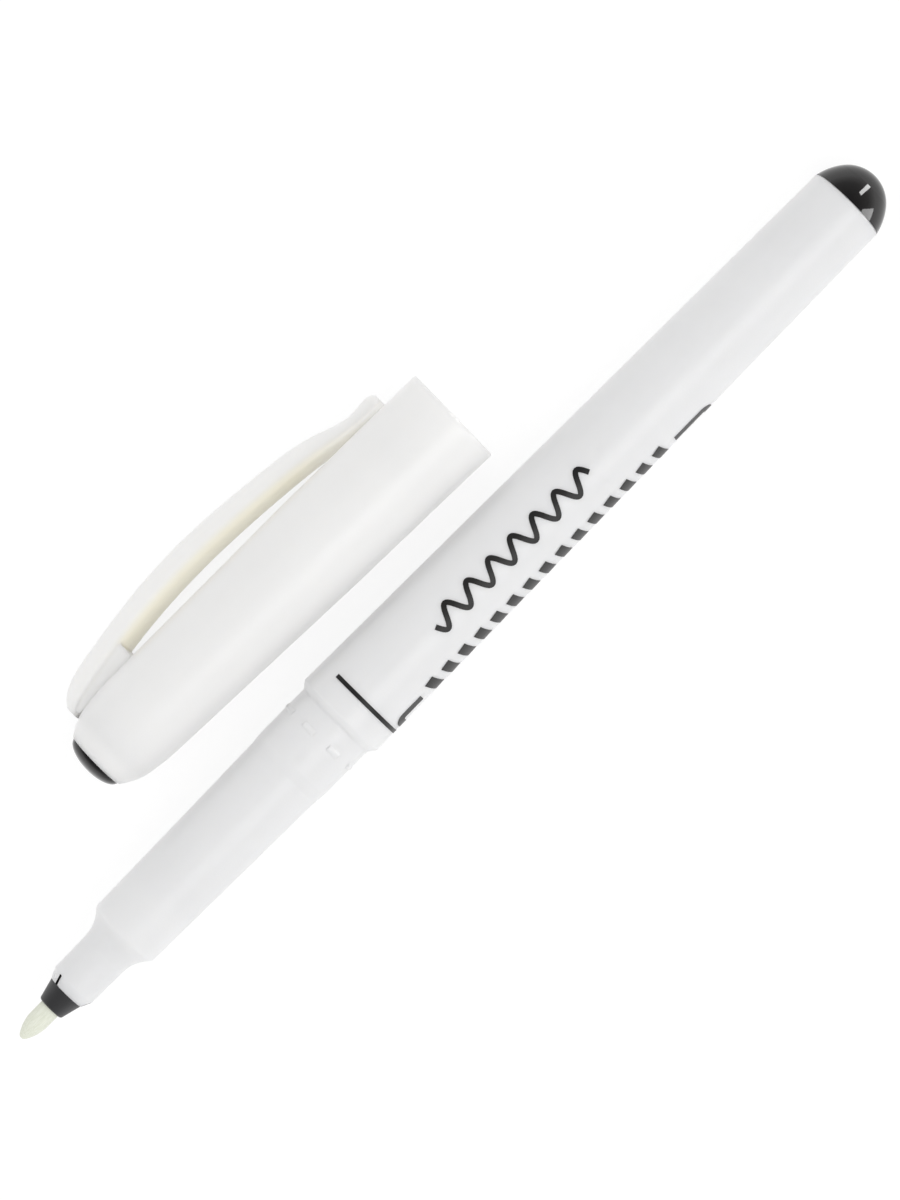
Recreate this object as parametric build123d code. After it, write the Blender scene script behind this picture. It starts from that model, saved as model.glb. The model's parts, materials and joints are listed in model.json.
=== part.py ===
from build123d import *
from math import asin, atan, cos, degrees, hypot, radians, sin, sqrt
import os

# A slim fibre-tipped marker, uncapped, lying on a table with its cap beside it.
# Lengths are in millimetres. The origin is on the pen's axis at the foot of its shoulder,
# where the front collar starts. +X runs towards the nib, +Z is up, and the cap lies on the
# -Y side. The cap's pieces are made along their own X axis, from the mouth at zero.

# Barrel, outside. Its radius falls evenly from the shoulder to the rear.
barrel_length = 79.20
shoulder_radius = 5.53
rear_radius = 4.70
rear_edge_chamfer = 0.12
shoulder_bevel = 0.80

# Collar that the cap grips, with a ring of low snap lugs. Angles run from the top
# towards the cap's side.
collar_radius = 4.90
collar_length = 6.70
lug_count = 8
lug_height = 0.15
lug_length = 1.00
lug_span = 20.0
lug_inset = 2.05
lug_turn = 17.0

# Grip section between the collar and the nose.
neck_length = 1.30
grip_rear_radius = 4.75
grip_front_radius = 4.33
grip_length = 24.60

# Nose, with a bevelled front edge and vent slits cut in it.
nose_shoulder_length = 3.50
nose_corner_round = 1.00
nose_rear_radius = 2.90
nose_front_radius = 2.82
nose_length = 4.80
nose_bevel_length = 1.15
nose_end_radius = 2.28
slit_count = 3
slit_width = 0.34
slit_length = 1.15
slit_turn = 38.0

# Barrel, inside. The bore narrows towards the nib, so that its core leaves from the rear.
rear_wall = 0.92
ledge_width = 0.55
throat_setback = 1.20

# Ink reservoir: a fibre core in a film sleeve. Its rear end rests on the plug's ribs.
reservoir_front = 27.2
core_radius = 3.18
sleeve_wall = 0.14
reservoir_clearance = 0.08

# Nib and its holder.
nib_radius = 1.25
nib_reach = 7.05
nib_taper_length = 2.31
nib_tip_round = 0.54
nib_tail_depth = 12.0
nib_tail_chamfer = 0.50
holder_length = 2.45
holder_base_radius = 2.24
holder_front_radius = 1.63
holder_edge_chamfer = 0.12
holder_tube_radius = 1.98
holder_tube_length = 7.40
channel_depth = 0.40

# Rear plug.
dome_height = 4.40
dome_crown_height = 1.60
dome_crown_radius = 4.27
dome_wall = 1.60
plug_lip = 0.03
plug_stem_length = 9.00
plug_stem_wall = 0.95
plug_rib_width = 1.00
plug_rib_length = 4.20
plug_rib_root = 0.30

# Cap shell, outside, from its mouth to its closed end. A setback is measured from that end.
cap_length = 54.67
cap_mouth_radius = 6.08
cap_mouth_round = 0.30
cap_middle_place = 20.57
cap_middle_radius = 5.96
cap_shank_setback = 7.70
cap_shank_radius = 5.46
cap_corner_setback = 3.30
cap_corner_radius = 5.07
cap_seam_radius = 3.60

# Cap shell, inside.
cap_wall = 1.10
cap_end_wall = 2.50
mouth_bore_clearance = 0.25
mouth_bore_length = 9.00
mouth_lead = 0.50
step_length = 1.20
snap_bead_height = 0.17
snap_bead_length = 1.00
snap_gap = 0.15

# Clip, moulded in one with the shell. Each row of shares is a cross section: its place
# along the clip from the tip, its height above the shell's mouth as a share of the full
# rise, its thickness, and its width as a share of the tapered width there.
clip_tip_place = 4.67
clip_root_setback = 1.47
clip_reach = 11.10
clip_thickness = 3.00
clip_tip_width = 4.20
clip_root_width = 5.50
clip_crown = 0.30
clip_belly = 0.30
clip_edge_share = 0.27
clip_under_edge_share = 0.38
clip_slot_setback = 10.80
clip_web_setback = 2.27
clip_web_inset = 0.40
clip_web_sink = 0.98
raised_share = 0.50
clip_section_shares = (
    (0.000, 0.323, 0.36, 0.62),
    (0.014, 0.398, 0.58, 0.90),
    (0.060, 0.353, 0.53, 1.00),
    (0.158, 0.592, 0.75, 1.00),
    (0.333, 0.890, 0.98, 1.00),
    (0.529, 1.000, 1.05, 1.00),
    (0.735, 0.849, 0.99, 1.00),
    (0.879, 0.588, 0.93, 1.00),
    (0.953, 0.378, 0.85, 0.97),
    (0.995, 0.020, 0.52, 0.85),
)

# Black plug in the closed end of the cap.
end_plug_radius = 3.43
end_plug_seat = 1.00
end_dome_height = 1.44
end_stem_radius = 2.40

# Sealing liner, seated at the closed end. It reaches the nose's shoulder when the pen is capped.
seal_clearance = 0.05
liner_length = 14.97
liner_wall = 0.85
liner_lead = 0.20
liner_floor = 0.90
liner_seat_length = 5.20

# How the cap lies beside the pen, with its mouth behind the shoulder.
cap_gap = 3.12
cap_setback = 32.97
cap_yaw = 1.27

# How far a cutting tool runs past the face that it leaves.
overrun = 1.00

# Places along the pen's axis.
shoulder = -shoulder_bevel
barrel_rear = shoulder - barrel_length
grip_start = collar_length + neck_length
grip_end = grip_start + grip_length
nose_start = grip_end + nose_shoulder_length
nose_taper = nose_start + nose_length
nose_end = nose_taper + nose_bevel_length
nib_tip = nose_end + nib_reach
nib_tail = reservoir_front - nib_tail_depth
tube_start = nose_end - holder_tube_length
throat_end = tube_start - throat_setback
plug_seat_end = barrel_rear + plug_stem_length
reservoir_rear = plug_seat_end + plug_rib_length

# Places along the cap's axis, from its mouth.
cap_shank_place = cap_length - cap_shank_setback
cap_corner_place = cap_length - cap_corner_setback
clip_root_place = cap_length - clip_root_setback
clip_slot_end = cap_length - clip_slot_setback
clip_web_end = cap_length - clip_web_setback

# Radii and places that follow from the pieces they hold.
sleeve_radius = core_radius + sleeve_wall
bore_front_radius = sleeve_radius + reservoir_clearance
bore_rear_radius = rear_radius - rear_wall
throat_radius = bore_front_radius - ledge_width
mouth_bore_radius = collar_radius + mouth_bore_clearance
snap_bead_start = shoulder_bevel + lug_inset + lug_length + snap_gap
liner_seat_radius = cap_shank_radius - cap_wall
liner_back = cap_length - cap_end_wall
liner_front = liner_back - liner_length


def turned(*curves):
    """Solid of revolution about the X axis, from curves that close an outline."""
    return revolve(make_face(curves), Axis.X)


def arched(curves, span):
    """Outline turned through part of a circle about the X axis, centred on the top."""
    return Rot(90 - span / 2, 0, 0) * revolve(make_face(curves), Axis.X, span)


def ring_of(piece, count, first_angle):
    """Copies of a piece at the top, spread evenly about the X axis."""
    return [Rot(first_angle + turn * 360 / count, 0, 0) * piece for turn in range(count)]


def bar(start, end, width, low, high):
    """Straight bar along X, centred on Y, between two heights."""
    size = (end - start, width, high - low)
    return Pos((start + end) / 2, 0, (low + high) / 2) * Box(*size)


def make_barrel():
    """One moulding: tapered barrel, snap collar, grip and nose, open at the rear."""
    outside = Polyline(
        (barrel_rear, bore_rear_radius),
        (barrel_rear, rear_radius - rear_edge_chamfer),
        (barrel_rear + rear_edge_chamfer, rear_radius),
        (shoulder, shoulder_radius),
        (0, collar_radius),
        (collar_length, collar_radius),
        (grip_start, grip_rear_radius),
        (grip_end, grip_front_radius),
    )
    turn = 2 * atan((grip_front_radius - nose_rear_radius) / nose_shoulder_length)
    corner_end = (
        grip_end + nose_corner_round * sin(turn),
        grip_front_radius - nose_corner_round * (1 - cos(turn)),
    )
    corner = TangentArc((grip_end, grip_front_radius), corner_end, tangent=(1, 0))
    sweep = TangentArc((nose_start, nose_rear_radius), corner_end, tangent=(-1, 0))
    nose = Polyline(
        (nose_start, nose_rear_radius),
        (nose_taper, nose_front_radius),
        (nose_end, nose_end_radius),
    )
    inside = Polyline(
        (nose_end, nose_end_radius),
        (nose_end, holder_tube_radius),
        (tube_start, holder_tube_radius),
        (throat_end, throat_radius),
        (reservoir_front, throat_radius),
        (reservoir_front, bore_front_radius),
        (plug_seat_end, bore_rear_radius),
        (barrel_rear, bore_rear_radius),
    )
    moulding = turned(outside, corner, sweep, nose, inside)
    lug_end = lug_inset + lug_length
    lug_foot = collar_radius - lug_height
    crest = ThreePointArc(
        (lug_inset, lug_foot),
        ((lug_inset + lug_end) / 2, collar_radius + lug_height),
        (lug_end, lug_foot),
    )
    lug = arched([crest, Line((lug_end, lug_foot), (lug_inset, lug_foot))], lug_span)
    moulding += ring_of(lug, lug_count, lug_turn)
    slit = bar(nose_end - slit_length, nose_end + overrun, slit_width, 0, nose_rear_radius)
    return moulding - ring_of(slit, slit_count, slit_turn)


def make_rear_plug():
    """Domed plug with a hollow stem and crossed ribs that hold the reservoir forward."""
    rim = rear_radius - plug_lip
    hollow_radius = bore_rear_radius - plug_stem_wall
    floor = barrel_rear - dome_height + dome_wall
    tip = barrel_rear - dome_height
    crown_rim = sqrt(dome_crown_height * (2 * dome_crown_radius - dome_crown_height))
    crown_edge = (tip + dome_crown_height, crown_rim)
    crown = TangentArc((tip, 0), crown_edge, tangent=(0, 1))
    side = TangentArc(crown_edge, (barrel_rear, rim), tangent=crown % 1)
    body = Polyline(
        (tip, 0),
        (floor, 0),
        (floor, hollow_radius),
        (plug_seat_end, hollow_radius),
        (plug_seat_end, bore_rear_radius),
        (barrel_rear, bore_rear_radius),
        (barrel_rear, rim),
    )
    rib_reach = hollow_radius + plug_rib_root
    rib = bar(floor, reservoir_rear, plug_rib_width, -rib_reach, rib_reach)
    return turned(crown, side, body) + rib + Rot(90, 0, 0) * rib


def make_reservoir_core():
    """Fibre rod that holds the ink, pierced at its front by the nib's tail."""
    outline = Polyline(
        (reservoir_rear, 0),
        (reservoir_rear, core_radius),
        (reservoir_front, core_radius),
        (reservoir_front, nib_radius),
        (nib_tail, nib_radius),
        (nib_tail, 0),
        (reservoir_rear, 0),
    )
    return turned(outline)


def make_reservoir_sleeve():
    """Thin film tube wrapped round the fibre."""
    outline = Polyline(
        (reservoir_rear, core_radius),
        (reservoir_rear, sleeve_radius),
        (reservoir_front, sleeve_radius),
        (reservoir_front, core_radius),
        (reservoir_rear, core_radius),
    )
    return turned(outline)


def make_nib():
    """Pressed fibre rod, ground to a blunt bullet point, with a chamfered tail."""
    centre = nib_tip - nib_tip_round
    squares = nib_taper_length**2 + nib_radius**2 - nib_tip_round**2
    taper_round = squares / (2 * (nib_radius - nib_tip_round))
    lean = asin(nib_taper_length / (taper_round - nib_tip_round))
    meeting = (centre + nib_tip_round * sin(lean), nib_tip_round * cos(lean))
    taper = TangentArc((centre - nib_taper_length, nib_radius), meeting, tangent=(1, 0))
    tip = CenterArc((centre, 0), nib_tip_round, 0, 90 - degrees(lean))
    rod = Polyline(
        (centre - nib_taper_length, nib_radius),
        (nib_tail + nib_tail_chamfer, nib_radius),
        (nib_tail, nib_radius - nib_tail_chamfer),
        (nib_tail, 0),
        (nib_tip, 0),
    )
    return turned(taper, tip, rod)


def make_nib_holder():
    """Cone with a tube pressed into the nose, and vent channels behind the slits."""
    cone_end = nose_end + holder_length
    face_edge = holder_front_radius - holder_edge_chamfer
    outline = Polyline(
        (tube_start, nib_radius),
        (tube_start, holder_tube_radius),
        (nose_end, holder_tube_radius),
        (nose_end, holder_base_radius),
        (cone_end - holder_edge_chamfer, holder_front_radius),
        (cone_end, face_edge),
        (cone_end, nib_radius),
        (tube_start, nib_radius),
    )
    channel_floor = holder_tube_radius - channel_depth
    channel = bar(tube_start - overrun, nose_end, slit_width, channel_floor, nose_rear_radius)
    return turned(outline) - ring_of(channel, slit_count, slit_turn)


def shell_radius(place):
    """Outside radius of the cap shell at a distance from its mouth."""
    if place < cap_middle_place:
        share = place / cap_middle_place
        return cap_mouth_radius + share * (cap_middle_radius - cap_mouth_radius)
    share = (place - cap_middle_place) / (cap_shank_place - cap_middle_place)
    return cap_middle_radius + share * (cap_shank_radius - cap_middle_radius)


def clip_top(along, rise):
    """Place and height of the clip's crest for one row of shares."""
    place = clip_tip_place + along * (clip_root_place - clip_tip_place)
    return place, cap_mouth_radius + rise * (clip_reach - cap_mouth_radius)


def clip_half_width(along, width_share):
    """Half the clip's width for one row of shares."""
    return width_share * (clip_tip_width + along * (clip_root_width - clip_tip_width)) / 2


def clip_section(along, rise, thickness_share, width_share):
    """Rounded cross section of the clip, crowned on top and full underneath."""
    place, top = clip_top(along, rise)
    thickness = thickness_share * clip_thickness
    crown = thickness_share * clip_crown
    half = clip_half_width(along, width_share)
    high = top - crown
    low = top - thickness + thickness_share * clip_belly
    outline = [
        ThreePointArc((-half, high), (0, top), (half, high)),
        Line((half, high), (half, low)),
        ThreePointArc((half, low), (0, top - thickness), (-half, low)),
        Line((-half, low), (-half, high)),
    ]
    face = make_face(outline)
    face = fillet(face.vertices().sort_by(Axis.Y)[-2:], thickness * clip_edge_share)
    face = fillet(face.vertices().sort_by(Axis.Y)[:2], thickness * clip_under_edge_share)
    return Plane.YZ.offset(place) * face


def droop_at(along, rise, thickness_share, width_share):
    """Angle below level at which the clip's rounded edge meets the table there."""
    place, top = clip_top(along, rise)
    edge_round = thickness_share * clip_thickness * clip_edge_share
    up = top - thickness_share * clip_crown - edge_round
    out = clip_half_width(along, width_share) - edge_round
    return asin((shell_radius(place) - edge_round) / hypot(up, out)) - atan(out / up)


def clip_height(place):
    """Height of the clip's crest at a place, taken straight between its sections."""
    crests = [clip_top(*shares[:2]) for shares in clip_section_shares]
    for (start, low), (end, high) in zip(crests, crests[1:]):
        if start <= place <= end:
            return low + (high - low) * (place - start) / (end - start)
    return crests[-1][1]


def make_clip():
    """Arched clip lofted through its sections, with a narrower web that joins its root."""
    arch = loft([clip_section(*shares).face() for shares in clip_section_shares])
    half = (clip_tip_width + clip_root_width) / 4 - clip_web_inset / 2
    foot = cap_shank_radius - clip_web_sink
    outline = Polyline(
        (clip_slot_end, foot),
        (clip_slot_end, clip_height(clip_slot_end) - clip_thickness / 2),
        (clip_web_end, clip_height(clip_web_end) - clip_thickness / 2),
        (clip_web_end, foot),
        (clip_slot_end, foot),
    )
    return arch + extrude(Plane.XZ * make_face(outline), half, both=True)


def make_cap_shell():
    """Cap with its clip: open at the mouth, with a seat in its closed end for the plug."""
    side = Polyline(
        (cap_mouth_round, cap_mouth_radius),
        (cap_middle_place, cap_middle_radius),
        (cap_shank_place, cap_shank_radius),
    )
    taper = (cap_shank_place - cap_middle_place, cap_shank_radius - cap_middle_radius)
    corner = TangentArc(
        (cap_shank_place, cap_shank_radius), (cap_corner_place, cap_corner_radius), tangent=taper
    )
    end = TangentArc(
        (cap_corner_place, cap_corner_radius), (cap_length, cap_seam_radius), tangent=corner % 1
    )
    mouth = ThreePointArc(
        (0, cap_mouth_radius - cap_mouth_round),
        (
            cap_mouth_round * (1 - cos(radians(45))),
            cap_mouth_radius - cap_mouth_round * (1 - cos(radians(45))),
        ),
        (cap_mouth_round, cap_mouth_radius),
    )
    inside = Polyline(
        (cap_length, cap_seam_radius),
        (cap_length, end_plug_radius),
        (cap_length - end_plug_seat, end_plug_radius),
        (cap_length - end_plug_seat, end_stem_radius),
        (liner_back, end_stem_radius),
        (liner_back, liner_seat_radius),
        (liner_back - liner_seat_length, liner_seat_radius),
        (mouth_bore_length + step_length, cap_middle_radius - cap_wall),
        (mouth_bore_length, mouth_bore_radius),
        (mouth_lead, mouth_bore_radius),
        (0, mouth_bore_radius + mouth_lead),
        (0, cap_mouth_radius - cap_mouth_round),
    )
    bead_root = mouth_bore_radius + snap_bead_height
    bead = [
        ThreePointArc(
            (snap_bead_start, bead_root),
            (snap_bead_start + snap_bead_length / 2, mouth_bore_radius - snap_bead_height),
            (snap_bead_start + snap_bead_length, bead_root),
        ),
        Line(
            (snap_bead_start + snap_bead_length, bead_root),
            (snap_bead_start, bead_root),
        ),
    ]
    return turned(mouth, side, corner, end, inside) + turned(*bead) + make_clip()


def make_cap_end_plug():
    """Domed plug pressed into the closed end of the cap."""
    dome = EllipticalCenterArc(
        (cap_length, 0), end_dome_height, end_plug_radius, start_angle=0, arc_size=90
    )
    body = Polyline(
        (cap_length, end_plug_radius),
        (cap_length - end_plug_seat, end_plug_radius),
        (cap_length - end_plug_seat, end_stem_radius),
        (liner_back, end_stem_radius),
        (liner_back, 0),
        (cap_length + end_dome_height, 0),
    )
    return turned(dome, body)


def make_cap_liner():
    """Soft sealing sleeve, closed at its back, that slides over the nose."""
    seal_radius = nose_rear_radius + seal_clearance
    outer_radius = seal_radius + liner_wall
    floor = liner_back - liner_floor
    outline = Polyline(
        (floor, 0),
        (floor, seal_radius),
        (liner_front + liner_lead, seal_radius),
        (liner_front, seal_radius + liner_lead),
        (liner_front, outer_radius),
        (liner_back - liner_seat_length, outer_radius),
        (liner_back - liner_seat_length, liner_seat_radius),
        (liner_back, liner_seat_radius),
        (liner_back, 0),
        (floor, 0),
    )
    return turned(outline)


# The pen lies on its tapered side, so its axis rises towards the nib.
pen_tilt = atan((shoulder_radius - rear_radius) / barrel_length)
table = shoulder * sin(pen_tilt) - shoulder_radius * cos(pen_tilt)
pen_lie = Rot(0, -degrees(pen_tilt), 0)

# The cap lies on its shank and on the rounded lower edge of its clip.
cap_tilt = atan((cap_middle_radius - cap_shank_radius) / (cap_shank_place - cap_middle_place))
raised = [shares for shares in clip_section_shares if shares[1] > raised_share]
clip_droop = min(droop_at(*shares) for shares in raised)
taper_share = (cap_setback - shoulder_bevel) / barrel_length
barrel_radius = shoulder_radius - taper_share * (shoulder_radius - rear_radius)
cap_offset = barrel_radius + cap_gap + cap_mouth_radius
cap_turn = Rot(0, 0, -cap_yaw) * Rot(0, degrees(cap_tilt), 0) * Rot(90 + degrees(clip_droop), 0, 0)

pen_pieces = {
    "barrel": make_barrel(),
    "rear_plug": make_rear_plug(),
    "reservoir_core": make_reservoir_core(),
    "reservoir_sleeve": make_reservoir_sleeve(),
    "nib": make_nib(),
    "nib_holder": make_nib_holder(),
}
cap_pieces = {
    "cap_shell": make_cap_shell(),
    "cap_end_plug": make_cap_end_plug(),
    "cap_liner": make_cap_liner(),
}
cap_low = (cap_turn * cap_pieces["cap_shell"]).bounding_box().min.Z
cap_lie = Pos(-cap_setback, -cap_offset, table - cap_low) * cap_turn

os.makedirs("parts", exist_ok=True)
for name, piece in pen_pieces.items():
    export_step(pen_lie * piece, f"parts/{name}.step")
for name, piece in cap_pieces.items():
    export_step(cap_lie * piece, f"parts/{name}.step")
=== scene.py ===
import bpy
import json
from math import asin, cos, pi, radians, sin, tau
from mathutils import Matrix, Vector, noise


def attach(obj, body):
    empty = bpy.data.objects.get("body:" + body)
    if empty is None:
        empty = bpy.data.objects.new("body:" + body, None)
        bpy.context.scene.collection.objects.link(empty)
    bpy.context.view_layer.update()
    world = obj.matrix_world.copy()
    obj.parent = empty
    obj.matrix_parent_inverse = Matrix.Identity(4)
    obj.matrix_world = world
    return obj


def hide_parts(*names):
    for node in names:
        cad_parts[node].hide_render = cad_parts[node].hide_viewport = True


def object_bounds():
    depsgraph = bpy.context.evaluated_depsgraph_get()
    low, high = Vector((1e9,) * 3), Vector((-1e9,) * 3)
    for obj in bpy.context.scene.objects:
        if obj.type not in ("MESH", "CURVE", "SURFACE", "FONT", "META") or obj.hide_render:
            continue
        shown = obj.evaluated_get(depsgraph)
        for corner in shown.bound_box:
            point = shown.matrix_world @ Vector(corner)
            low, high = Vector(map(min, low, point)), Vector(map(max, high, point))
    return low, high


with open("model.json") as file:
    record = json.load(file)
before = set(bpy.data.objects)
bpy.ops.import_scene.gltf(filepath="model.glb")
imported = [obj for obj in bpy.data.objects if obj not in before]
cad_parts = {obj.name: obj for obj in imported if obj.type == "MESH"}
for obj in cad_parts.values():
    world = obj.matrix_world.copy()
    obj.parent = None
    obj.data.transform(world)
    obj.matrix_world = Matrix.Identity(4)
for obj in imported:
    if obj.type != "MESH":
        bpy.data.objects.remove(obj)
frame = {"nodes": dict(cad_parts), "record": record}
bpy.context.view_layer.update()

# Ink reservoir: a bonded rod of polyester fibre that soaks up and holds the invisible ink.
# It is cut from a long bundle, so its strands run lengthwise and its ends are squared off.
# It slides into the barrel from the rear, and the nib's tail is pushed into its front face.

mm = 0.001


def place_node(tree, kind, inputs=None, **settings):
    """Add a shader node, set it up, and connect or set its inputs."""
    node = tree.nodes.new("ShaderNode" + kind)
    for name, value in settings.items():
        setattr(node, name, value)
    for name, value in (inputs or {}).items():
        if isinstance(value, bpy.types.NodeSocket):
            tree.links.new(value, node.inputs[name])
        else:
            node.inputs[name].default_value = value
    return node


def on_numbers(tree, operation, *values):
    """Result of a sum on numbers."""
    node = place_node(tree, "Math", dict(enumerate(values)), operation=operation)
    return node.outputs["Value"]


def on_vectors(tree, operation, *values):
    """Result of a sum on vectors, which is a number for a length or a dot product."""
    node = place_node(tree, "VectorMath", dict(enumerate(values)), operation=operation)
    return node.outputs["Value" if operation in ("DOT_PRODUCT", "LENGTH") else "Vector"]


def scaled(tree, vector, factor):
    """Vector times a number."""
    node = place_node(tree, "VectorMath", {0: vector, "Scale": factor}, operation="SCALE")
    return node.outputs["Vector"]


def place_in_mm(tree):
    """Place on the surface, counted in millimetres."""
    return scaled(tree, place_node(tree, "TexCoord").outputs["Object"], 1 / mm)


def cloudy(tree, place, scale, detail):
    """Soft random level at a place."""
    return place_node(tree, "TexNoise", {
        "Vector": place, "Scale": scale, "Detail": detail,
    }).outputs["Fac"]


def tone_ramp(tree, mask, stops):
    """Colour or value that follows a mask, from pairs of mask level and grey or colour."""
    ramp = place_node(tree, "ValToRGB", {"Fac": mask})
    elements = ramp.color_ramp.elements
    while len(elements) < len(stops):
        elements.new(1.0)
    for element, (level, tone) in zip(elements, stops):
        element.position = level
        element.color = (*tone, 1.0) if isinstance(tone, tuple) else (tone, tone, tone, 1.0)
    return ramp.outputs["Color"]


def new_group(name, inputs, outputs):
    """Empty shader group with named inputs, each with its usual value, and outputs."""
    tree = bpy.data.node_groups.new(name, "ShaderNodeTree")
    for label, value in inputs.items():
        kind = "NodeSocketVector" if isinstance(value, tuple) else "NodeSocketFloat"
        socket = tree.interface.new_socket(label, in_out="INPUT", socket_type=kind)
        socket.default_value = value
    for label in outputs:
        tree.interface.new_socket(label, in_out="OUTPUT", socket_type="NodeSocketFloat")
    source = tree.nodes.new("NodeGroupInput").outputs
    return tree, source, tree.nodes.new("NodeGroupOutput")


def hand_out(tree, sink, results):
    """Give a group's results out by their names, and the finished group."""
    for label, result in results.items():
        tree.links.new(result, sink.inputs[label])
    return tree


def use_group(tree, group, inputs):
    """Place a finished group in a material with its own values."""
    node = tree.nodes.new("ShaderNodeGroup")
    node.node_tree = group
    for name, value in inputs.items():
        node.inputs[name].default_value = value
    return node.outputs


def make_strands_group():
    """Fine parallel fibres along X: a tone for each strand and a height between them."""
    tufts_per_mm = 5.5
    inputs = {"Strands per mm": 14.0, "Length per mm": 0.6, "Fluff": 0.35}
    tree, source, sink = new_group("felted_strands", inputs, ("Tone", "Height"))
    in_mm = place_in_mm(tree)
    across = place_node(tree, "CombineXYZ", {
        "X": source["Length per mm"], "Y": source["Strands per mm"], "Z": source["Strands per mm"],
    })
    drawn = on_vectors(tree, "MULTIPLY", in_mm, across.outputs["Vector"])
    strand = cloudy(tree, drawn, scale=1.0, detail=3.0)
    tuft = cloudy(tree, in_mm, scale=tufts_per_mm, detail=4.0)
    loose = on_numbers(tree, "MULTIPLY", tuft, source["Fluff"])
    height = on_numbers(tree, "ADD", strand, loose)
    return hand_out(tree, sink, {"Tone": strand, "Height": height})


def shader_of(material):
    """Node tree of a finish, and the inputs of its shader."""
    tree = material.node_tree
    return tree, tree.nodes["Principled BSDF"].inputs


def new_finish(name, settings):
    """Material with a plain shader whose constant values are set on its own sockets."""
    material = bpy.data.materials.new(name)
    material.use_nodes = True
    tree, shader = shader_of(material)
    for label, value in settings.items():
        shader[label].default_value = value
    return material, tree, shader


def wear(material, piece):
    """Give a piece one material all over."""
    piece.data.materials.clear()
    piece.data.materials.append(material)


felted_strands = make_strands_group()


def fibre_finish(name, pale, dark, strands, relief, sheen):
    """Felted fibre: streaked tone, soft roughness, and a relief of strands."""
    material, tree, shader = new_finish(name, {"Sheen Weight": sheen, "Specular IOR Level": 0.25})
    felt = use_group(tree, felted_strands, strands)
    streaks = tone_ramp(tree, felt["Tone"], [(0.30, dark), (0.62, pale)])
    tree.links.new(streaks, shader["Base Color"])
    roughness = tone_ramp(tree, felt["Tone"], [(0.2, 0.95), (0.8, 0.72)])
    tree.links.new(roughness, shader["Roughness"])
    bump = place_node(tree, "Bump", {
        "Height": felt["Height"], "Distance": relief, "Strength": 0.8,
    })
    tree.links.new(bump.outputs["Normal"], shader["Normal"])
    return material


bonded_fibre = fibre_finish(
    "bonded_fibre", pale=(0.82, 0.82, 0.78), dark=(0.62, 0.62, 0.58),
    strands={"Strands per mm": 9.0, "Length per mm": 0.25, "Fluff": 0.5},
    relief=0.05 * mm, sheen=0.4,
)
wear(bonded_fibre, frame["nodes"]["reservoir_core"])

# Wrap of the reservoir: a clear film, wound round the fibre and heat sealed along its length.
# It keeps the ink in the rod and lets it slide into the barrel without snagging.
# It is thinner than paper and slightly milky, with faint draw lines.

clear_film, tree, shader = new_finish("clear_film", {
    "Base Color": (0.86, 0.88, 0.88, 1.0), "Transmission Weight": 0.6, "IOR": 1.49,
})
felt = use_group(tree, felted_strands, {
    "Strands per mm": 2.0, "Length per mm": 0.1, "Fluff": 0.1,
})
draw_lines = tone_ramp(tree, felt["Tone"], [(0.3, 0.12), (0.7, 0.28)])
tree.links.new(draw_lines, shader["Roughness"])
bump = place_node(tree, "Bump", {
    "Height": felt["Height"], "Distance": 0.01 * mm, "Strength": 0.5,
})
tree.links.new(bump.outputs["Normal"], shader["Normal"])
wear(clear_film, frame["nodes"]["reservoir_sleeve"])

# Nib holder: a small black moulded cone whose tube is pressed into the nose.
# Its spark-eroded mould leaves a satin face, and channels along it let air back in.


def map_between(tree, value, low, high, start=0.0, end=1.0):
    """Number that goes from start to end as a value goes from low to high."""
    return place_node(tree, "MapRange", {
        "Value": value, "From Min": low, "From Max": high, "To Min": start, "To Max": end,
    }).outputs["Result"]


def make_skin_group():
    """Skin of a moulding: fine mould grain, slow shade, flow streaks, and rubbed specks."""
    slow_per_mm = 0.11
    flow_per_mm = (0.06, 0.55, 0.55)
    rub_per_mm = (0.35, 6.0, 6.0)
    rub_start, rub_full = 0.60, 0.78
    speck_rim, speck_core = 0.10, 0.04
    inputs = {"Grain per mm": 8.0, "Flow": 0.3, "Speck size": 0.5, "Speck share": 0.1}
    tree, source, sink = new_group("moulded_skin", inputs, ("Shade", "Grain", "Rub", "Specks"))
    in_mm = place_in_mm(tree)
    grain = cloudy(tree, in_mm, scale=source["Grain per mm"], detail=2.0)
    flow = cloudy(tree, on_vectors(tree, "MULTIPLY", in_mm, flow_per_mm), scale=1.0, detail=2.0)
    slow = cloudy(tree, in_mm, scale=slow_per_mm, detail=1.0)
    streaks = on_numbers(tree, "MULTIPLY", flow, source["Flow"])
    shade = on_numbers(tree, "ADD", slow, streaks)
    rub = cloudy(tree, on_vectors(tree, "MULTIPLY", in_mm, rub_per_mm), scale=1.0, detail=3.0)
    rubbed = map_between(tree, rub, rub_start, rub_full)
    cells_per_mm = on_numbers(tree, "DIVIDE", 1.0, source["Speck size"])
    cells = place_node(tree, "TexVoronoi", {"Vector": in_mm, "Scale": cells_per_mm}).outputs
    lot = place_node(tree, "SeparateColor", {"Color": cells["Color"]}).outputs["Red"]
    chosen = on_numbers(tree, "LESS_THAN", lot, source["Speck share"])
    near = map_between(tree, cells["Distance"], speck_rim, speck_core)
    specks = on_numbers(tree, "MULTIPLY", chosen, near)
    return hand_out(tree, sink, {"Shade": shade, "Grain": grain, "Rub": rubbed, "Specks": specks})


moulded_skin = make_skin_group()
edge_samples = 8


def rounded_edges(tree, radius):
    """Direction of the surface, turned softly over its edges as if they were rounded."""
    return place_node(tree, "Bevel", {"Radius": radius}, samples=edge_samples).outputs["Normal"]


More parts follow.
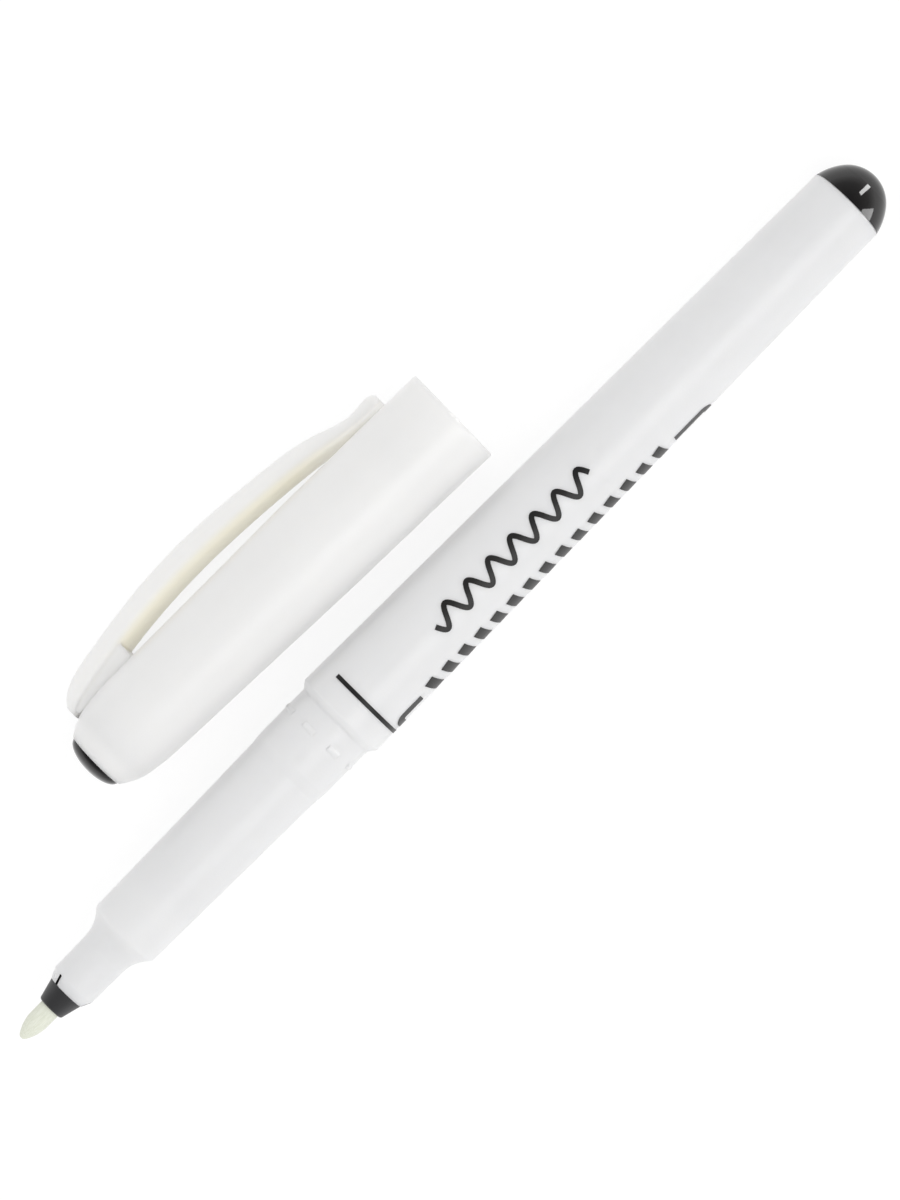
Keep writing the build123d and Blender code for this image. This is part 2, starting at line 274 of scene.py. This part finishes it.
def moulded_finish(name, light, deep, gloss, relief, skin, settings, edge=0.0):
    """Moulded plastic: slow shade, a rubbed gloss, the mould's grain, and rounded edges."""
    material, tree, shader = new_finish(name, settings)
    surface = use_group(tree, moulded_skin, skin)
    shade = tone_ramp(tree, surface["Shade"], [(0.35, deep), (0.85, light)])
    tree.links.new(shade, shader["Base Color"])
    smooth, rough = gloss
    worn = map_between(tree, surface["Rub"], 0.0, 1.0, smooth, rough)
    speckled = on_numbers(tree, "MAXIMUM", worn, surface["Specks"])
    tree.links.new(speckled, shader["Roughness"])
    bump = place_node(tree, "Bump", {
        "Height": surface["Grain"], "Distance": relief, "Strength": 0.6,
    })
    if edge:
        tree.links.new(rounded_edges(tree, edge), bump.inputs["Normal"])
    tree.links.new(bump.outputs["Normal"], shader["Normal"])
    return material


satin_black = moulded_finish(
    "satin_black", light=(0.046, 0.046, 0.048), deep=(0.028, 0.028, 0.030), gloss=(0.42, 0.55),
    relief=0.02 * mm,
    skin={"Grain per mm": 14.0, "Flow": 0.2, "Speck size": 0.4, "Speck share": 0.05},
    settings={"IOR": 1.5},
)
wear(satin_black, frame["nodes"]["nib_holder"])

# Nib: a rod of pressed fibre with a ground bullet point and a chamfered tail.
# It is held by the bonded resin between its strands, and stays a pale cream as its ink is
# clear. Its ground end is slightly fluffed, so the strands show as shallow ridges.

pen_axis = Vector(frame["record"]["mounts"][0]["axis"])
pen_lie = Vector((1, 0, 0)).rotation_difference(pen_axis).to_matrix().to_4x4()
nib_radius = 1.25 * mm
nib_tip = 49.10 * mm
nib_taper_length = 2.31 * mm
nib_tip_round = 0.54 * mm
nib_bared = 43.5 * mm
nib_tail = 15.2 * mm
nib_tail_chamfer = 0.50 * mm
nib_steps = 50
nib_tip_steps = 16
nib_strips = 120
ridge_depth = 0.035 * mm
ridge_length = 3 * mm
ridge_count = 26
fluff_depth = 0.02 * mm
fluff_size = 0.22 * mm


def new_piece(name, points, faces, body, material, smooth=True):
    """Mesh piece from points in the pen's frame, carried by a body."""
    mesh = bpy.data.meshes.new(name)
    mesh.from_pydata(points, [], faces)
    mesh.validate()
    for polygon in mesh.polygons:
        polygon.use_smooth = smooth
    piece = bpy.data.objects.new(name, mesh)
    bpy.context.scene.collection.objects.link(piece)
    wear(material, piece)
    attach(piece, body)
    return piece


def lathe(stations, strips, shape):
    """Closed skin round the X axis: stations of place and radius, shaped by a function."""
    points = []
    for place, radius in stations:
        for turn in range(strips):
            angle = tau * turn / strips
            points.append(shape(place, radius, angle))
    rings = len(stations)
    faces = [tuple(reversed(range(strips)))]
    for ring in range(rings - 1):
        for turn in range(strips):
            following = (turn + 1) % strips
            low = ring * strips
            high = low + strips
            faces.append((low + turn, low + following, high + following, high + turn))
    last = (rings - 1) * strips
    faces.append(tuple(range(last, last + strips)))
    return points, faces


def nib_surface(place, radius, angle):
    """Point on the nib, drawn in a little where strands part and where it is fluffed."""
    point = Vector((place, radius * cos(angle), radius * sin(angle)))
    spot = Vector((place / ridge_length, cos(angle) * ridge_count / tau,
                   sin(angle) * ridge_count / tau))
    ridge = 0.5 + 0.5 * noise.noise(spot)
    tuft = 0.5 + 0.5 * noise.noise(point / fluff_size)
    bared = 1.0 if place > nib_bared else 0.0
    inward = bared * min(1.0, radius / nib_radius) * (ridge * ridge_depth + tuft * fluff_depth)
    drawn = max(radius - inward, 0.0)
    return pen_lie @ Vector((place, drawn * cos(angle), drawn * sin(angle)))


# The point's side is an arc that leaves the rod without a corner and meets the round tip.
taper_start = nib_tip - nib_tip_round - nib_taper_length
squares = nib_taper_length ** 2 + nib_radius ** 2 - nib_tip_round ** 2
taper_round = squares / (2 * (nib_radius - nib_tip_round))
lean = asin(nib_taper_length / (taper_round - nib_tip_round))
nib_outline = [(nib_tail, nib_radius - nib_tail_chamfer), (nib_tail + nib_tail_chamfer, nib_radius)]
for step in range(nib_steps):
    share = step / nib_steps
    nib_outline.append((nib_bared + (taper_start - nib_bared) * share, nib_radius))
for step in range(nib_steps):
    turn = lean * step / nib_steps
    nib_outline.append((
        taper_start + taper_round * sin(turn), nib_radius - taper_round * (1 - cos(turn)),
    ))
for step in range(nib_tip_steps):
    turn = lean + (pi / 2 - lean) * step / nib_tip_steps
    nib_outline.append((nib_tip - nib_tip_round * (1 - sin(turn)), nib_tip_round * cos(turn)))
nib_felt = fibre_finish(
    "nib_felt", pale=(0.78, 0.80, 0.70), dark=(0.68, 0.70, 0.58),
    strands={"Strands per mm": 12.0, "Length per mm": 0.8, "Fluff": 0.6},
    relief=0.03 * mm, sheen=0.3,
)
nib_points, nib_faces = lathe(nib_outline, nib_strips, nib_surface)
nib = new_piece("felt_nib", nib_points, nib_faces, "pen", nib_felt)
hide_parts("nib")

# Barrel: one long moulding in white polypropylene, from the open rear to the slotted nose. Its
# core leaves through the rear. The skin is smooth and softly shining, with faint streaks along
# the flow. The black holder fills the slits of the nose, and their side walls get painted shade,
# near black.

slit_start = 40.8 * mm
barrel_edge = 0.3 * mm
white_skin = {"Grain per mm": 5.0, "Flow": 0.5, "Speck size": 0.9, "Speck share": 0.04}
white_plastic = {
    "IOR": 1.49, "Subsurface Radius": (1.0, 0.98, 0.93), "Subsurface Scale": 2.0 * mm,
}
barrel_white = moulded_finish(
    "barrel_white", light=(0.785, 0.785, 0.788), deep=(0.76, 0.76, 0.763), gloss=(0.30, 0.42),
    relief=0.012 * mm, skin=white_skin,
    settings={**white_plastic, "Subsurface Weight": 0.6}, edge=barrel_edge,
)


def make_slit_group():
    """Mask of the side walls of the nose's slits, which face along the ring.
    These walls get painted shade.
    """
    wall_start, wall_full = 0.4, 0.7
    inputs = {"Axis": (1.0, 0.0, 0.0), "Slit start": 0.0}
    tree, source, sink = new_group("slit_walls", inputs, ("Walls",))
    spot = place_node(tree, "TexCoord").outputs
    along = on_vectors(tree, "PROJECT", spot["Object"], source["Axis"])
    out = on_vectors(tree, "SUBTRACT", spot["Object"], along)
    ring_way = on_vectors(tree, "CROSS_PRODUCT", source["Axis"], out)
    unit = on_vectors(tree, "NORMALIZE", ring_way)
    turned = on_vectors(tree, "DOT_PRODUCT", unit, spot["Normal"])
    sideways = on_numbers(tree, "ABSOLUTE", turned)
    facing = map_between(tree, sideways, wall_start, wall_full)
    run = on_vectors(tree, "DOT_PRODUCT", spot["Object"], source["Axis"])
    in_nose = on_numbers(tree, "GREATER_THAN", run, source["Slit start"])
    return hand_out(tree, sink, {"Walls": on_numbers(tree, "MULTIPLY", facing, in_nose)})


def tint(material, tone):
    """Multiply a finish's colour by a tone that follows a mask."""
    tree, shader = shader_of(material)
    plain = shader["Base Color"].links[0].from_socket
    tree.links.new(on_vectors(tree, "MULTIPLY", plain, tone), shader["Base Color"])


# Painted shade: the side walls of the nose's slits are darkened to near black.
tree = barrel_white.node_tree
slit = use_group(tree, make_slit_group(), {"Axis": pen_axis, "Slit start": slit_start})
tint(barrel_white, tone_ramp(tree, slit["Walls"], [(0.0, 1.0), (1.0, 0.02)]))
wear(barrel_white, frame["nodes"]["barrel"])

# Print on the barrel: black pad-printed ink, thinner than a hair.
# A plain line runs across near the shoulder, and a frame line, open at its top edge, runs
# round the side. Its opening holds slanted dashes, and a wavy pen stroke runs along the top.

barrel_rear = -80.0 * mm
barrel_shoulder = -0.8 * mm
rear_radius = 4.70 * mm
shoulder_radius = 5.53 * mm
ink_lift = 0.004 * mm
ink_thickness = 0.022 * mm
strip_step = 0.15 * mm

print_ink = moulded_finish(
    "print_ink", light=(0.020, 0.019, 0.018), deep=(0.010, 0.010, 0.010), gloss=(0.38, 0.60),
    relief=0.01 * mm,
    skin={"Grain per mm": 16.0, "Flow": 0.2, "Speck size": 0.25, "Speck share": 0.2},
    settings={"IOR": 1.5},
)


def barrel_radius(place):
    """Outside radius of the tapered barrel at a place along its axis."""
    share = (place - barrel_rear) / (barrel_shoulder - barrel_rear)
    return rear_radius + share * (shoulder_radius - rear_radius)


def on_barrel(place, angle, lift):
    """Point over the barrel's skin at an angle from the top, positive away from the cap."""
    reach = barrel_radius(place) + lift
    return pen_lie @ Vector((place, reach * sin(angle), reach * cos(angle)))


def ink_strip(name, path, width):
    """Thin printed line that follows a path of place and arc length round the barrel."""
    dense = []
    for start, end in zip(path, path[1:]):
        start, end = Vector(start), Vector(end)
        pieces = max(1, round((end - start).length / strip_step))
        dense += [start.lerp(end, count / pieces) for count in range(pieces)]
    dense.append(Vector(path[-1]))
    points = []
    last = len(dense) - 1
    for index, spot in enumerate(dense):
        ahead = (dense[min(index + 1, last)] - dense[max(index - 1, 0)]).normalized()
        side = Vector((-ahead.y, ahead.x)) * width / 2
        for offset in (side, -side):
            place, arc = spot + offset
            for lift in (ink_lift, ink_lift + ink_thickness):
                points.append(on_barrel(place, arc / barrel_radius(place), lift))
    faces = []
    for index in range(last):
        here = 4 * index
        there = here + 4
        faces += [
            (here + 1, there + 1, there + 3, here + 3), (here, here + 2, there + 2, there),
            (here, there, there + 1, here + 1), (here + 2, here + 3, there + 3, there + 2),
        ]
    end = 4 * last
    faces += [(0, 1, 3, 2), (end, end + 2, end + 3, end + 1)]
    return new_piece(name, points, faces, "pen", print_ink, smooth=False)


line_place = -3.70 * mm
line_width = 0.50 * mm
line_start = radians(-37.0)
line_end = radians(118.0)
line_radius = barrel_radius(line_place)
ink_strip("shoulder_line", [
    (line_place, line_start * line_radius), (line_place, line_end * line_radius),
], line_width)

frame_front = -5.0 * mm
frame_back = -53.2 * mm
frame_top = 6.28 * mm
frame_drop = 6.2 * mm
frame_corner = 0.75 * mm
frame_front_end = -8.5 * mm
frame_back_end = -48.2 * mm
frame_width = 1.05 * mm
corner_steps = 8


def corner_arc(centre, radius, start, end):
    """Points on part of a circle, from one angle in degrees to another."""
    turns = [radians(start + (end - start) * n / corner_steps) for n in range(corner_steps + 1)]
    return [(centre[0] + radius * cos(turn), centre[1] + radius * sin(turn)) for turn in turns]


near = frame_front - frame_corner
far = frame_back + frame_corner
high = frame_top + frame_corner
low = frame_top + frame_drop - frame_corner
frame_path = [(frame_front_end, frame_top)]
frame_path += corner_arc((near, high), frame_corner, -90, 0)
frame_path += corner_arc((near, low), frame_corner, 0, 90)
frame_path += corner_arc((far, low), frame_corner, 90, 180)
frame_path += corner_arc((far, high), frame_corner, 180, 270)
frame_path.append((frame_back_end, frame_top))
ink_strip("frame_line", frame_path, frame_width)

dash_count = 15
dash_first = -10.6 * mm
dash_last = -46.0 * mm
dash_top = 4.85 * mm
dash_height = 2.70 * mm
dash_slant = 0.70 * mm
dash_width = 1.35 * mm
for count in range(dash_count):
    place = dash_first + (dash_last - dash_first) * count / (dash_count - 1)
    dash = [(place + dash_slant / 2, dash_top), (place - dash_slant / 2, dash_top + dash_height)]
    ink_strip(f"dash_{count + 1}", dash, dash_width)

wave_start = -15.0 * mm
wave_count = 7
wave_length = 3.40 * mm
wave_rise = 1.15 * mm
wave_middle = 0.60 * mm
wave_width = 0.62 * mm
wave_steps = 24
wave_path = []
for step in range(wave_count * wave_steps + 1):
    turns = step / wave_steps
    wave_path.append((
        wave_start - turns * wave_length, wave_middle + wave_rise * sin(turns * tau),
    ))
ink_strip("wavy_line", wave_path, wave_width)

# Rear plug: a glossy black dome in polypropylene, pressed into the open end of the barrel.
# A hollow stem with crossed ribs behind the dome keeps the reservoir against the nib.

gloss_black = moulded_finish(
    "gloss_black", light=(0.010, 0.009, 0.009), deep=(0.005, 0.005, 0.006), gloss=(0.06, 0.14),
    relief=0.004 * mm,
    skin={"Grain per mm": 3.0, "Flow": 0.3, "Speck size": 0.6, "Speck share": 0.12},
    settings={"IOR": 1.5},
)
wear(gloss_black, frame["nodes"]["rear_plug"])

# Sealing liner: a soft milky sleeve in polyethylene, pushed to the closed end of the cap.
# It closes over the nose when the pen is capped and keeps the nib from drying out.

milky_liner = moulded_finish(
    "milky_liner", light=(0.78, 0.79, 0.78), deep=(0.70, 0.71, 0.70), gloss=(0.38, 0.52),
    relief=0.015 * mm,
    skin={"Grain per mm": 4.0, "Flow": 0.3, "Speck size": 0.9, "Speck share": 0.03},
    settings={"IOR": 1.51, "Subsurface Weight": 0.5, "Subsurface Radius": (1.5, 1.4, 1.2),
              "Subsurface Scale": 0.8 * mm},
)
wear(milky_liner, frame["nodes"]["cap_liner"])

# Cap: a tapered white shell with its arched clip, moulded in one shot in polypropylene.
# The clip is thin and lets light through. In its place, the clip's shaded inside gets painted
# light: a warm tint and a faint emitted glow, warmest along the slot.
# The places of the clip are measured along the cap's axis from its mouth.

cap_mouth = frame["record"]["mounts"][1]
cap_edge = 0.9 * mm
clip_places = {
    "Shell radius": 6.25 * mm, "End radius": 4.5 * mm,
    "Slot start": 6.0 * mm, "Slot opened": 17.0 * mm,
    "Slot closing": 43.6 * mm, "Slot end": 46.4 * mm,
    "Root": 53.0 * mm, "Edge": cap_edge,
}
# Painted light on the clip's shaded inside: a warm tint, and an emitted glow by the root and slot,
# which the cap's emission strength scales.
painted_warm_light = (0.97, 0.95, 0.86)
painted_root_glow = (0.80, 0.79, 0.76)
painted_slot_glow = (0.57, 0.54, 0.42)
cap_white = moulded_finish(
    "cap_white", light=(0.855, 0.85, 0.84), deep=(0.84, 0.835, 0.825), gloss=(0.28, 0.40),
    relief=0.012 * mm, skin=white_skin,
    settings={**white_plastic, "Subsurface Weight": 0.5, "Emission Strength": 0.30}, edge=cap_edge,
)


def make_clip_inside_group():
    """Masks of the clip's side that looks at the shell, a wide and a deep one, and the slot's.
    They place the painted warm tint and glow.
    """
    facings = {"Wide": (-0.02, -0.60), "Deep": (-0.35, -0.95)}
    inputs = {"Mouth": (0.0, 0.0, 0.0), "Axis": (1.0, 0.0, 0.0), **dict.fromkeys(clip_places, 0.0)}
    tree, source, sink = new_group("clip_inside", inputs, ("Wide", "Deep", "Slot"))
    place = place_node(tree, "TexCoord").outputs["Object"]
    spot = on_vectors(tree, "SUBTRACT", place, source["Mouth"])
    along = on_vectors(tree, "PROJECT", spot, source["Axis"])
    out = on_vectors(tree, "SUBTRACT", spot, along)
    reach = on_vectors(tree, "LENGTH", out)
    run = on_vectors(tree, "LENGTH", along)
    shell = map_between(tree, run, source["Slot end"], source["Root"],
                        source["Shell radius"], source["End radius"])
    beyond = on_numbers(tree, "GREATER_THAN", reach, shell)
    away = on_vectors(tree, "NORMALIZE", out)
    facing = on_vectors(tree, "DOT_PRODUCT", away, rounded_edges(tree, source["Edge"]))
    opened = map_between(tree, run, source["Slot start"], source["Slot opened"])
    before = map_between(tree, run, source["Slot end"], source["Slot closing"])
    results = {"Slot": on_numbers(tree, "MULTIPLY", opened, before)}
    for label, (low, high) in facings.items():
        inward = map_between(tree, facing, low, high)
        results[label] = on_numbers(tree, "MULTIPLY", inward, beyond)
    return hand_out(tree, sink, results)


tree, shader = shader_of(cap_white)
clip_inside = use_group(tree, make_clip_inside_group(), {
    "Mouth": cap_mouth["pos_m"], "Axis": cap_mouth["axis"], **clip_places,
})
# Painted light: a warm tint where the clip faces the shell along the slot, and a glow deeper in.
painted_warm_share = on_numbers(tree, "MULTIPLY", clip_inside["Wide"], clip_inside["Slot"])
tint(cap_white, tone_ramp(tree, painted_warm_share, [(0.0, 1.0), (1.0, painted_warm_light)]))
glow = tone_ramp(tree, clip_inside["Slot"], [(0.0, painted_root_glow), (1.0, painted_slot_glow)])
tree.links.new(scaled(tree, glow, clip_inside["Deep"]), shader["Emission Color"])
wear(cap_white, frame["nodes"]["cap_shell"])

# Plug in the closed end of the cap: the same glossy black as the rear plug.
# Its low dome stands just proud of the shell, and its stem is pressed home behind it.

wear(gloss_black, frame["nodes"]["cap_end_plug"])

# Table: a plain pale sheet that the pen and its cap lie on. Where it is looked at, straight or
# in a reflection, it adds its own light, so that it reads as white and still keeps the shadow.

table_reach = 1.5
table_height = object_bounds()[0].z
seen_grey = 0.20
seen_glow = 0.84
corners = [(-1, -1), (1, -1), (1, 1), (-1, 1)]
table_mesh = bpy.data.meshes.new("table")
table_mesh.from_pydata([(x * table_reach, y * table_reach, table_height) for x, y in corners], [],
                       [(0, 1, 2, 3)])
table = bpy.data.objects.new("table", table_mesh)
bpy.context.scene.collection.objects.link(table)


def either_ray(tree, first, *others):
    """Factor that is one for any of the named kinds of ray."""
    rays = place_node(tree, "LightPath").outputs
    factor = rays[first]
    for kind in others:
        factor = on_numbers(tree, "MAXIMUM", factor, rays[kind])
    return factor


def mix_by(tree, factor, usual, other):
    """Shader that is the usual one where a factor is nought, and the other where it is one."""
    return place_node(tree, "MixShader", {"Fac": factor, 1: usual, 2: other}).outputs["Shader"]


paper, tree, shader = new_finish("pale_sheet", {"Roughness": 0.9})
tooth = place_node(tree, "TexNoise", {"Scale": 400.0, "Detail": 2.0}).outputs["Fac"]
tree.links.new(tone_ramp(tree, tooth, [(0.3, 0.97), (0.7, 0.99)]), shader["Base Color"])
lit = tree.nodes["Principled BSDF"].outputs["BSDF"]
shaded = place_node(tree, "BsdfDiffuse", {
    "Color": (seen_grey, seen_grey, seen_grey, 1.0),
}).outputs["BSDF"]
glow = place_node(tree, "Emission", {"Strength": seen_glow}).outputs["Emission"]
white = place_node(tree, "AddShader", {0: shaded, 1: glow}).outputs["Shader"]
seen_rays = either_ray(tree, "Is Camera Ray", "Is Glossy Ray", "Is Transmission Ray")
tree.links.new(mix_by(tree, seen_rays, lit, white),
               tree.nodes["Material Output"].inputs["Surface"])
wear(paper, table)

# Studio: an even, pale room with one broad soft lamp high on the right of the picture. Two
# upright windows stand low on the right, and show only as the highlights on the black dome.

view_turn = radians(134.73)
picture_right = Vector((cos(view_turn), sin(view_turn), 0))
picture_up = Vector((-sin(view_turn), cos(view_turn), 0))
view_centre = Vector((-18.26, -0.36, 0)) * mm
lamp_distance = 0.90
lamp_height = 0.50
lamp_power = 1.5
window_power = 2.6

room = bpy.data.worlds.new("studio")
room.use_nodes = True
bpy.context.scene.world = room
tree = room.node_tree
direction = place_node(tree, "TexCoord").outputs["Generated"]
height = place_node(tree, "SeparateXYZ", {"Vector": direction}).outputs["Z"]


def room_light(tree, height, levels):
    """Light of the room by height, from the horizon up to overhead."""
    shade = tone_ramp(tree, height, levels)
    return place_node(tree, "Background", {"Color": shade}).outputs["Background"]


lighting = room_light(tree, height, [(0.0, 0.92), (1.0, 0.92)])
mirrored = room_light(tree, height, [(0.0, 1.0), (0.35, 0.38), (1.0, 0.04)])
plain = room_light(tree, height, [(0.0, 1.0), (1.0, 1.0)])
unseen = mix_by(tree, either_ray(tree, "Is Glossy Ray"), lighting, mirrored)
seen_rays = either_ray(tree, "Is Camera Ray", "Is Transmission Ray")
tree.links.new(mix_by(tree, seen_rays, unseen, plain),
               tree.nodes["World Output"].inputs["Surface"])


def soft_lamp(name, toward, width, power, only_mirrored=False):
    """Rectangular lamp in a direction of picture right, picture up and height."""
    lamp = bpy.data.lights.new(name, "AREA")
    lamp.shape = "RECTANGLE"
    lamp.size = width
    lamp.size_y = lamp_height
    lamp.energy = power
    holder = bpy.data.objects.new(name, lamp)
    right, up, high = toward
    away = (picture_right * right + picture_up * up + Vector((0, 0, high))).normalized()
    holder.location = view_centre + away * lamp_distance
    holder.rotation_euler = away.to_track_quat("Z", "Y").to_euler()
    holder.visible_diffuse = not only_mirrored
    bpy.context.scene.collection.objects.link(holder)


soft_lamp("overhead", (0.52, -0.30, 1.00), 0.50, lamp_power)
soft_lamp("narrow_window", (0.75, 0.62, 0.28), 0.13, window_power, only_mirrored=True)
soft_lamp("wide_window", (0.93, -0.12, 0.30), 0.28, window_power, only_mirrored=True)

camera_height = 580 * mm
picture_height = 132 * mm
sensor = 36.0
near_clip = 0.01
camera_data = bpy.data.cameras.new("camera")
camera_data.sensor_fit = "VERTICAL"
camera_data.sensor_height = sensor
camera_data.lens = sensor * camera_height / picture_height
camera_data.clip_start = near_clip
camera = bpy.data.objects.new("camera", camera_data)
camera.location = view_centre + Vector((0, 0, camera_height))
camera.rotation_euler = (0, 0, view_turn)
bpy.context.scene.collection.objects.link(camera)
bpy.context.scene.camera = camera
bpy.context.scene.view_settings.view_transform = "Standard"

bpy.context.view_layer.update()
